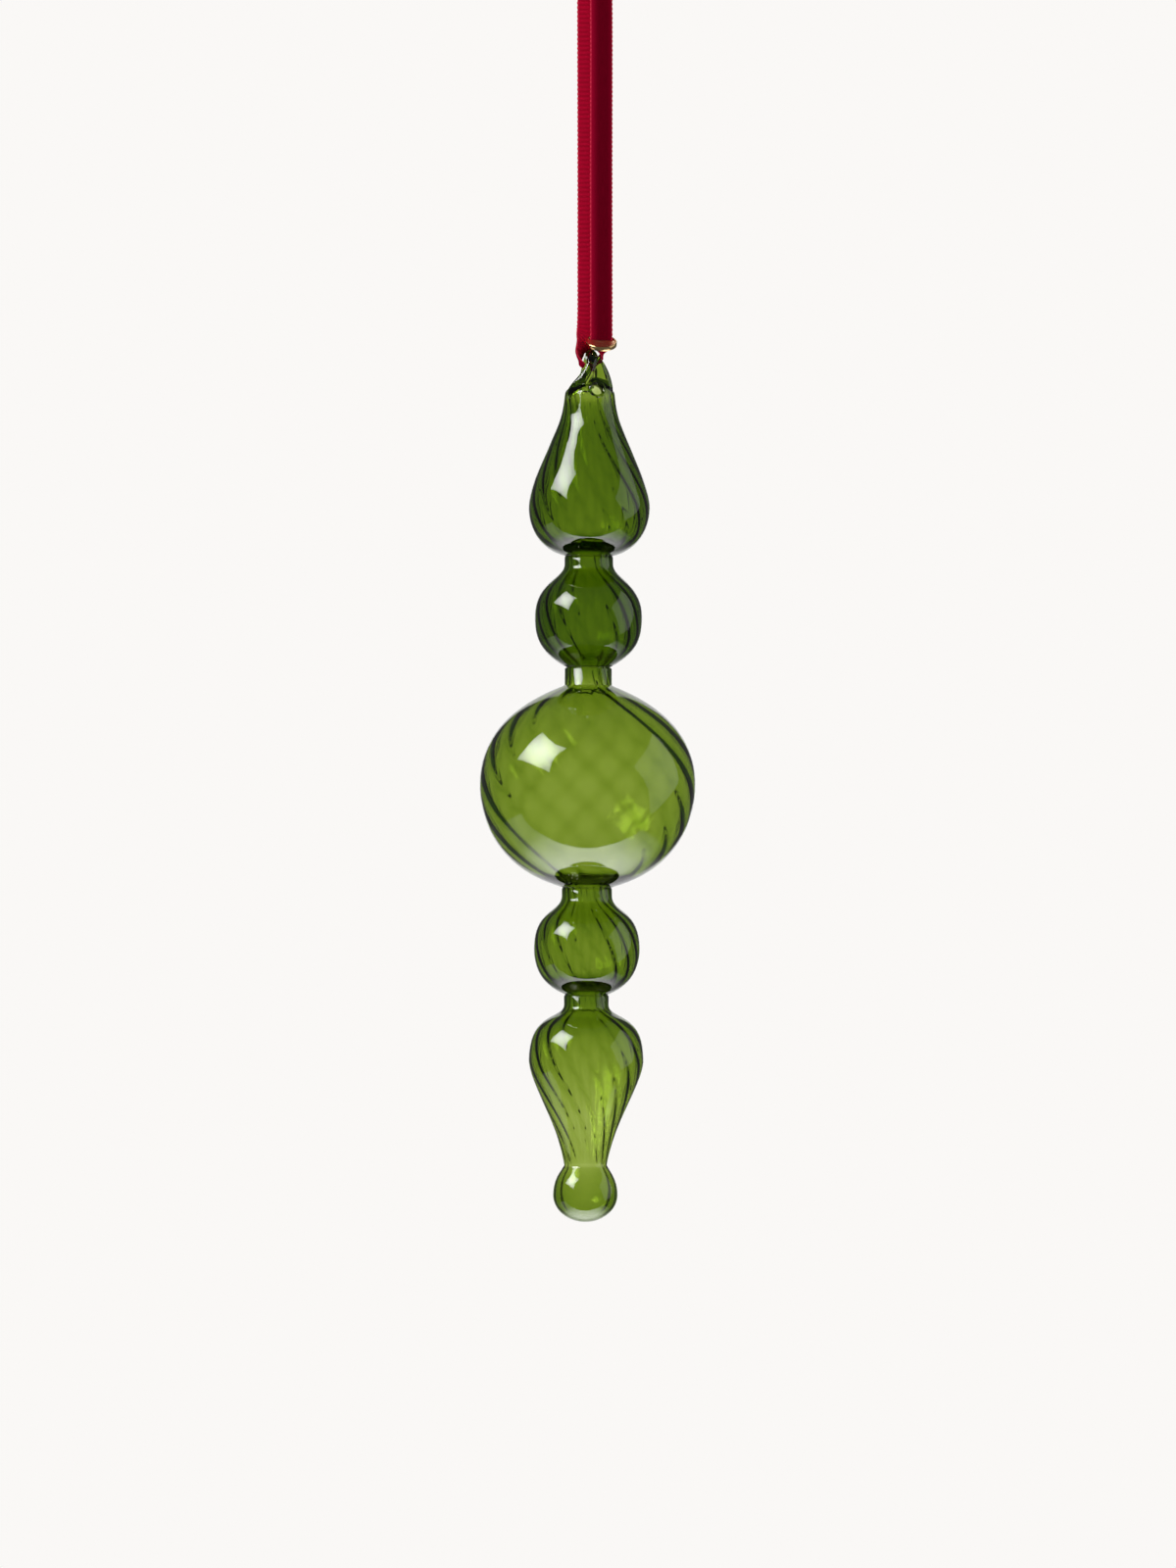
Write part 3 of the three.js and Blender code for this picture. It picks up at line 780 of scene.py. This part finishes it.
def vent_lip():
    """The lip's outline, with an edge that turns over in half a circle."""
    line = [(0, -VENT_LIP_IN), (VENT_LIP_R, -VENT_LIP_IN)]
    for degrees in range(0, 181, 15):
        a = math.radians(degrees)
        line.append((VENT_LIP_R - VENT_LIP_SOFT + VENT_LIP_SOFT * math.cos(a),
                     VENT_LIP_OUT - VENT_LIP_SOFT + VENT_LIP_SOFT * math.sin(a)))
    return line + [(0, VENT_LIP_OUT - VENT_LIP_SOFT)]


lip = vent_tool("vent_lip", vent_lip())
bore = vent_tool("vent_bore", [(0, -BORE_IN), (VENT_R, -BORE_IN), (VENT_R, BORE_OUT), (0, BORE_OUT)])
glass = outer_skin
glass.name = "blown_glass"
combine(glass, crown_block, "UNION")
combine(glass, lip, "UNION")
combine(glass, cavity, "DIFFERENCE")
combine(glass, bore, "DIFFERENCE")
print("joined glass:", len(glass.data.polygons), "faces")

# %% [markdown]
# ## The mark of the hand
#
# A blown piece is never quite round. The whole skin is moved in slow waves, together with a
# smaller and finer set of them, and the pear gets a dent in front with a swell below it. The
# eye and the crown stay as they are, because the ribbon has to fit there.

# %% Hand shaping
WAVE, WAVE_LONG = 0.09, 9.0  # how far the skin moves, and over how many mm
FINE_SHARE, FINE_LONG = 0.4, 3.6  # the finer waves
STILL_RADIUS = 6  # the skin moves less within this radius
STILL_ABOVE, STILL_FADE = 11, 4  # depth above which it stays, and over how many mm that fades
# depth, turn in degrees, outward shift, half height and half width of each uneven place
UNEVEN = [(18.0, -123, -0.25, 6.0, 40), (33.0, -123, 0.35, 6.0, 38)]


def hand_shaped(piece):
    """Moves the skin in and out as the waves and the uneven places say."""
    for vertex in piece.data.vertices:
        place = vertex.co / MM
        radius, depth = math.hypot(place.x, place.y), BAR - place.z
        turn = math.degrees(math.atan2(place.y, place.x))
        fade = min(1.0, radius / STILL_RADIUS) * min(1.0, max(0.0, (depth - STILL_ABOVE) / STILL_FADE))
        shift = WAVE * noise.noise(place / WAVE_LONG) + WAVE * FINE_SHARE * noise.noise(place / FINE_LONG)
        for middle, side, out, tall, wide in UNEVEN:
            shift += out * math.exp(-((depth - middle) / tall) ** 2 - ((turn - side) / wide) ** 2)
        vertex.co += Vector((place.x, place.y, 0)) / max(radius, 1.0) * shift * fade * MM
    for polygon in piece.data.polygons:
        polygon.use_smooth = True


hand_shaped(glass)
print("glass:", len(glass.data.polygons), "faces")

# %% [markdown]
# ## Green glass
#
# Clear coloured glass has no colour on its surface. Its green comes from how far light
# travels inside the wall, so the shader is white, bends light as soda-lime glass does, and
# leaves the colour to absorption in the volume. A green surface would give thick and thin
# places one shade.

# %% Glass finish
def green_glass():
    """Clear glass that is green from absorption alone."""
    tree, shader, finish = finish_named("green_glass", (1, 1, 1))
    shader.inputs["Roughness"].default_value = 0.0
    shader.inputs["IOR"].default_value = 1.5
    shader.inputs["Transmission Weight"].default_value = 1.0
    tint = add(tree, "ShaderNodeVolumeAbsorption", Density=1450.0)
    tint.inputs["Color"].default_value = (0.586, 0.686, 0.034, 1)
    tree.links.new(tint.outputs[0], tree.nodes["Material Output"].inputs["Volume"])
    return finish


glass.data.materials.clear()
glass.data.materials.append(green_glass())
print("glass finish ready")

# %% [markdown]
# ## The metal slider
#
# A small disc of plated metal with a raised rim and a slot for the ribbon. The disc is
# turned on a lathe in the real workshop, so it is spun here, and a thin box cuts the slot.

# %% Slider disc
DISC_R, DISC_THICK, RIM_WIDE, RIM_UP = 4.1, 1.2, 0.45, 0.18
RIM_SOFT = 0.16  # radius of the rim's outer corners
DISC_SIDES = 96
DISC_TILT, DISC_ROLL = math.radians(28), math.radians(2.5)
SLOT_BACK = 1.5  # from the disc's middle back to the slot's
SLOT_WIDE, SLOT_DEEP, SLOT_TALL, SLOT_CORNER = 6.7, 1.5, 6, 0.4


def disc_profile():
    """Half of the disc's section, from the middle of one face round the rim to the other."""
    face, edge = DISC_THICK / 2 - RIM_UP, DISC_THICK / 2
    inner = DISC_R - RIM_WIDE
    half = [(0, face), (inner - 0.3, face), (inner - 0.12, face + 0.03), (inner, edge - 0.05),
            (inner + 0.1, edge), (DISC_R - RIM_SOFT, edge), (DISC_R - 0.05, edge - 0.05),
            (DISC_R, edge - RIM_SOFT)]
    return [(r, -h) for r, h in half] + [(DISC_R, 0)] + half[::-1]


def slot_tool(place):
    """A box with round corners that stands along the ribbon's front strand."""
    hole = bmesh.new()
    bmesh.ops.create_cube(hole, size=1)
    bmesh.ops.scale(hole, verts=hole.verts, vec=(SLOT_WIDE * MM, SLOT_DEEP * MM, SLOT_TALL * MM))
    upright = [e for e in hole.edges if abs(e.verts[0].co.z - e.verts[1].co.z) > MM]
    bmesh.ops.bevel(hole, geom=upright, offset=SLOT_CORNER * MM, affect="EDGES",
                    segments=4, profile=0.5, material=-1)
    cut = bpy.data.meshes.new("slot_tool")
    hole.to_mesh(cut)
    hole.free()
    strand = (Vector(ROUTE[8][:3]) - Vector(ROUTE[11][:3])).normalized()
    lean = Vector((0, 0, 1)).rotation_difference(strand).to_matrix().to_4x4()
    cut.transform(Matrix.Translation(place) @ lean)
    return mesh_object("slot_tool", cut)


def slider_disc():
    """The disc, with its two faces inside the rims marked for the second finish."""
    low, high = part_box("charm_slider")
    middle = (Vector(low) + Vector(high)) / 2
    mesh = turned_mesh("metal_slider", disc_profile(), DISC_SIDES)
    turn = Matrix.Rotation(DISC_ROLL, 4, "Y") @ Matrix.Rotation(DISC_TILT, 4, "X")
    mesh.transform(Matrix.Translation(middle) @ turn)
    disc = mesh_object("metal_slider", mesh)
    combine(disc, slot_tool(middle + turn @ Vector((0, SLOT_BACK * MM, 0))), "DIFFERENCE")
    normal = turn.to_3x3() @ Vector((0, 0, 1))
    for polygon in disc.data.polygons:
        off = polygon.center - middle
        height = abs(off.dot(normal))
        within = (off - normal * off.dot(normal)).length < (DISC_R - RIM_WIDE - 0.1) * MM
        polygon.material_index = int(within and height > (DISC_THICK / 2 - RIM_UP - 0.02) * MM)
    return disc


slider = slider_disc()
print("slider:", len(slider.data.polygons), "faces")

# %% [markdown]
# ## Gold plate
#
# Polished plate is a metal: its colour sits in the reflection itself. Handling leaves fine
# scratches, which show as small changes of gloss, and a faint pebbled surface under the
# plate breaks the mirror a little.

# %% Metal finish
def gold_plate(name, dark, light, smooth, dull):
    """Plated metal, glossier in some places than in others."""
    tree, shader, finish = finish_named(name, light)
    shader.inputs["Metallic"].default_value = 1.0
    place = add(tree, "ShaderNodeTexCoord").outputs["Object"]
    wear = speckle(tree, place, 900.0, 4.0, 0.6)
    tree.links.new(tinted(tree, wear, dark, light), shader.inputs["Base Color"])
    tree.links.new(ramp(tree, wear, 0.3, 0.75, smooth, dull, "LINEAR"), shader.inputs["Roughness"])
    raised(tree, shader, speckle(tree, place, 2600.0, 2.0), 0.15, 0.05)
    return finish


inner_faces = [polygon.material_index for polygon in slider.data.polygons]
slider.data.materials.clear()  # this also sets every face back to the first finish
slider.data.materials.append(gold_plate("gold_plate", (0.82, 0.52, 0.22), (0.92, 0.68, 0.34), 0.12, 0.26))
slider.data.materials.append(gold_plate("brushed_gold", (0.86, 0.54, 0.28), (0.96, 0.68, 0.38), 0.3, 0.42))
slider.data.polygons.foreach_set("material_index", inner_faces)
print("metal finishes ready")

# %% [markdown]
# ## Stitches
#
# Four short stitches hold the lap. Their CAD solids already are closed loops of thread, so
# they stay and only get a finish: matt cotton with the fine slanting lines of its twist, drawn
# as bumps and as painted shade in the grooves between the plies.

# %% Thread finish
def sewing_thread():
    """Matt cotton with slanting plies, and painted shade that darkens the grooves between them."""
    tree, shader, finish = finish_named("sewing_thread", (0.3, 0.004, 0.02))
    place = add(tree, "ShaderNodeTexCoord").outputs["Object"]
    slanting = {"bands_direction": "DIAGONAL"}
    plies = add(tree, "ShaderNodeTexWave", slanting, Vector=place, Scale=900.0, Distortion=1.0).outputs["Fac"]
    # painted shade: the colour is darker in the grooves between the plies
    colour = tinted(tree, plies, (0.16, 0.0, 0.01), (0.36, 0.006, 0.025))
    tree.links.new(colour, shader.inputs["Base Color"])
    tree.links.new(ramp(tree, plies, 0, 1, 0.65, 0.85, "LINEAR"), shader.inputs["Roughness"])
    raised(tree, shader, plies, 0.5, 0.05)
    return finish


thread = sewing_thread()
stitches = [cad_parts[f"lap_stitch_{n}"] for n in (1, 2, 3, 4)]
for stitch in stitches:
    stitch.data.materials.clear()
    stitch.data.materials.append(thread)
print("stitches:", [s.name for s in stitches])

# %% [markdown]
# ## Studio
#
# Glass shows its surroundings more than itself. The photographer stood a white paper sweep
# behind and under the ornament and lit it with a square softbox at the upper left and a dim
# panel at the right. The dark edges of the bulbs come from something dark on each side of the
# paper behind, here two narrow flags. Wider flags draw the same edges, but from other sides
# they would stand right behind the glass and turn it nearly black. Real panels round the model
# would get into other views, so the world carries them all by direction, for reflected and
# refracted rays only. Cloth, thread and paper get a plain grey light from it.

# %% World
BACKDROP = (0.956, 0.939, 0.922, 1)
PLAIN_LIGHT = 0.55
# The corners of each panel as directions, clockwise as the model sees them.
SOFTBOX = [(-0.566, -0.033, 0.823), (-0.36, -0.605, 0.71), (-0.662, -0.721, 0.204), (-0.928, -0.035, 0.371)]
SIDE_PANEL = [(0.671, 0.301, 0.677), (0.91, 0.40, 0.05), (0.90, -0.20, -0.39), (0.746, -0.58, 0.328)]
# Degrees to each side of straight behind: the flags and their soft edge, and the paper's back.
FLAG_FROM, FLAG_TO, FLAG_EDGE = 12, 26, 3
BACK_FULL, BACK_END, BACK_LEVEL = 14, 18, 0.95


def panel_light(tree, toward, corners, drawn_in, middle_level, edge_level):
    """The light of a cloth panel between four directions.

    Its sides are drawn in between the corners, and it is brightest in the middle.
    """
    edges = []
    for here, following in zip(corners, corners[1:] + corners[:1]):
        edge = Vector(following).cross(Vector(here)).normalized()
        over = add(tree, "ShaderNodeVectorMath", {"operation": "DOT_PRODUCT"}, _0=toward, _1=edge)
        edges.append(over.outputs["Value"])
    squares = []
    for near, far in ((edges[0], edges[2]), (edges[1], edges[3])):
        both = calc(tree, "MAXIMUM", calc(tree, "ADD", near, far), 0.001)
        share = calc(tree, "DIVIDE", calc(tree, "SUBTRACT", near, far), both)
        squares.append(calc(tree, "MULTIPLY", share, share))
    covered = 1.0
    for own, other in (squares, squares[::-1]):
        short = calc(tree, "MULTIPLY", drawn_in, calc(tree, "SUBTRACT", 1.0, other))
        spare = calc(tree, "SUBTRACT", calc(tree, "SUBTRACT", 1.0, short), own)
        covered = calc(tree, "MULTIPLY", covered, ramp(tree, spare, -0.03, 0.03))
    for edge in edges:
        covered = calc(tree, "MULTIPLY", covered, ramp(tree, edge, -0.003, 0.003))
    hot = product(tree, *[calc(tree, "SUBTRACT", 1.0, square) for square in squares])
    hot = calc(tree, "MAXIMUM", hot, 0.0)
    level = calc(tree, "MULTIPLY_ADD", hot, middle_level - edge_level, edge_level)
    return calc(tree, "MULTIPLY", covered, level)


def light_through(tree, aside, z):
    """What refracted rays meet: light all round but for the two flags and a dark patch overhead."""
    flag = product(
        tree,
        ramp(tree, aside, math.radians(FLAG_FROM), math.radians(FLAG_FROM + FLAG_EDGE)),
        ramp(tree, aside, math.radians(FLAG_TO), math.radians(FLAG_TO - FLAG_EDGE)),
    )
    window = product(tree, calc(tree, "SUBTRACT", 1.0, flag), ramp(tree, z, 0.97, 0.85))
    below = ramp(tree, z, -0.36, -0.44)  # the flags end above the paper on the ground
    return ramp(tree, calc(tree, "MAXIMUM", window, below), 0, 1, 0.03, 0.95, "LINEAR")


def light_from_paper(tree, aside, x, y, z):
    """What the glass mirrors of the paper under and behind it.

    A place on the paper is counted in drops: how far it lies to the right or behind for each
    unit down. It is lit most right under the ornament, and less towards the sides and the back.
    """
    drop = calc(tree, "MAXIMUM", calc(tree, "MULTIPLY", z, -1.0), 0.001)
    on_x, on_y = calc(tree, "DIVIDE", x, drop), calc(tree, "DIVIDE", y, drop)
    reach = product(tree, ramp(tree, on_y, -0.33, -0.27), ramp(tree, on_y, 8.0, 6.0))
    fading = ramp(tree, on_y, 1.3, 0.1, 0.16, 1.0)
    sides = product(tree, ramp(tree, on_x, -2.4, -2.2), ramp(tree, on_x, 1.4, 1.1))
    lit = ramp(tree, calc(tree, "ABSOLUTE", on_x), 1.1, 0.15, 0.9, 5.6)
    under = product(tree, reach, fading, sides, lit)
    back = ramp(tree, aside, math.radians(BACK_END), math.radians(BACK_FULL), 0.0, BACK_LEVEL)
    return calc(tree, "MAXIMUM", under, back)


def studio_world():
    """The world's light, split by kind of ray. The camera sees the plain backdrop."""
    world = bpy.data.worlds.new("studio")
    scene.world = world
    world.use_nodes = True
    tree = world.node_tree
    toward = add(tree, "ShaderNodeTexCoord").outputs["Generated"]
    x, y, z = add(tree, "ShaderNodeSeparateXYZ", _0=toward).outputs
    aside = calc(tree, "ABSOLUTE", calc(tree, "ARCTAN2", x, y))
    softbox = panel_light(tree, toward, SOFTBOX, 0.3, 16.0, 5.0)
    side_panel = panel_light(tree, toward, SIDE_PANEL, 0.0, 1.0, 0.8)
    panels = calc(tree, "MAXIMUM", softbox, side_panel)
    seen_through = calc(tree, "MAXIMUM", light_through(tree, aside, z), panels)
    paper = light_from_paper(tree, aside, x, y, z)
    mirrored = calc(tree, "MAXIMUM", paper, calc(tree, "MAXIMUM", panels, 0.1))

    rays = add(tree, "ShaderNodeLightPath").outputs
    refracted = rays["Is Transmission Ray"]
    glossy = product(tree, rays["Is Glossy Ray"], calc(tree, "SUBTRACT", 1.0, refracted))
    level = add(tree, "ShaderNodeMix", _0=glossy, _2=PLAIN_LIGHT, _3=mirrored).outputs[0]
    level = add(tree, "ShaderNodeMix", _0=refracted, _2=level, _3=seen_through).outputs[0]
    grey = add(tree, "ShaderNodeCombineColor", _0=level, _1=level, _2=level).outputs[0]
    shade = add(tree, "ShaderNodeMix", {"data_type": "RGBA"}, _0=rays["Is Camera Ray"], _6=grey)
    shade.inputs[7].default_value = BACKDROP
    backdrop = tree.nodes["Background"]
    tree.links.new(shade.outputs[2], backdrop.inputs["Color"])
    backdrop.inputs["Strength"].default_value = 1.0
    world.cycles.sampling_method = "MANUAL"
    world.cycles.sample_map_resolution = 512
    return world


studio_world()
print("world ready")

# %% [markdown]
# ## Lamps
#
# Two round lamps shape the velvet: a key at the upper left, on the softbox's side, and a
# weaker fill from the right. Glass and metal don't mirror them, because a lamp's disc would
# add a highlight that the photograph doesn't have.

# %% Lamps
LAMP_AIM = Vector((0, 0, -0.2))


def soft_lamp(name, place, size, power):
    """A round lamp turned to the ornament."""
    data = bpy.data.lights.new(name, "AREA")
    data.shape = "DISK"
    data.size = size
    data.energy = power
    lamp = bpy.data.objects.new(name, data)
    lamp.location = place
    lamp.rotation_euler = (LAMP_AIM - Vector(place)).to_track_quat("-Z", "Y").to_euler()
    lamp.visible_glossy = lamp.visible_transmission = lamp.visible_camera = False
    scene.collection.objects.link(lamp)
    return lamp


key_lamp = soft_lamp("key_left", (-0.9, -0.7, 0.5), 0.6, 9.0)
fill_lamp = soft_lamp("fill_right", (1.2, -0.3, 0.0), 0.8, 3.0)
print("lamps:", key_lamp.name, fill_lamp.name)

# %% [markdown]
# ## Floor
#
# The ornament hangs well above a pale floor. From the photograph's low camera the floor is
# out of the picture, and from above it catches a soft shadow. Its rim fades out, so no edge
# of it shows against the white.

# %% Floor
FLOOR_RADIUS, FLOOR_HEIGHT = 0.65, -0.52
FLOOR_FULL, FLOOR_GONE = 0.25, 0.6  # radii between which the floor fades out


def pale_floor():
    """A round sheet of pale paper whose rim fades out."""
    form = bmesh.new()
    bmesh.ops.create_circle(form, cap_ends=True, segments=96, radius=FLOOR_RADIUS)
    mesh = bpy.data.meshes.new("studio_floor")
    form.to_mesh(mesh)
    form.free()
    floor = mesh_object("studio_floor", mesh)
    floor.data.transform(Matrix.Translation((0, 0, FLOOR_HEIGHT)))
    tree, shader, finish = finish_named("pale_paper", (0.95, 0.935, 0.918))
    shader.inputs["Roughness"].default_value = 0.9
    shader.inputs["Specular IOR Level"].default_value = 0.0
    place = add(tree, "ShaderNodeTexCoord").outputs["Object"]
    flat = add(tree, "ShaderNodeVectorMath", {"operation": "MULTIPLY"}, _0=place, _1=(1, 1, 0)).outputs[0]
    away = add(tree, "ShaderNodeVectorMath", {"operation": "LENGTH"}, _0=flat).outputs["Value"]
    tree.links.new(ramp(tree, away, FLOOR_GONE, FLOOR_FULL), shader.inputs["Alpha"])
    floor.data.materials.append(finish)
    floor.visible_glossy = floor.visible_transmission = False
    return floor


pale_floor()
scene.view_settings.view_transform = "Standard"
print("floor ready")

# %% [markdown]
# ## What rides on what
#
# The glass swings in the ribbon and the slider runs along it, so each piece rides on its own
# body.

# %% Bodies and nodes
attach(glass, "glass")
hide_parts("glass_body", "hanging_eye")
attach(ribbon, "ribbon")
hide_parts("velvet_ribbon")
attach(slider, "charm")
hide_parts("charm_slider")
print("pieces ride on their bodies")
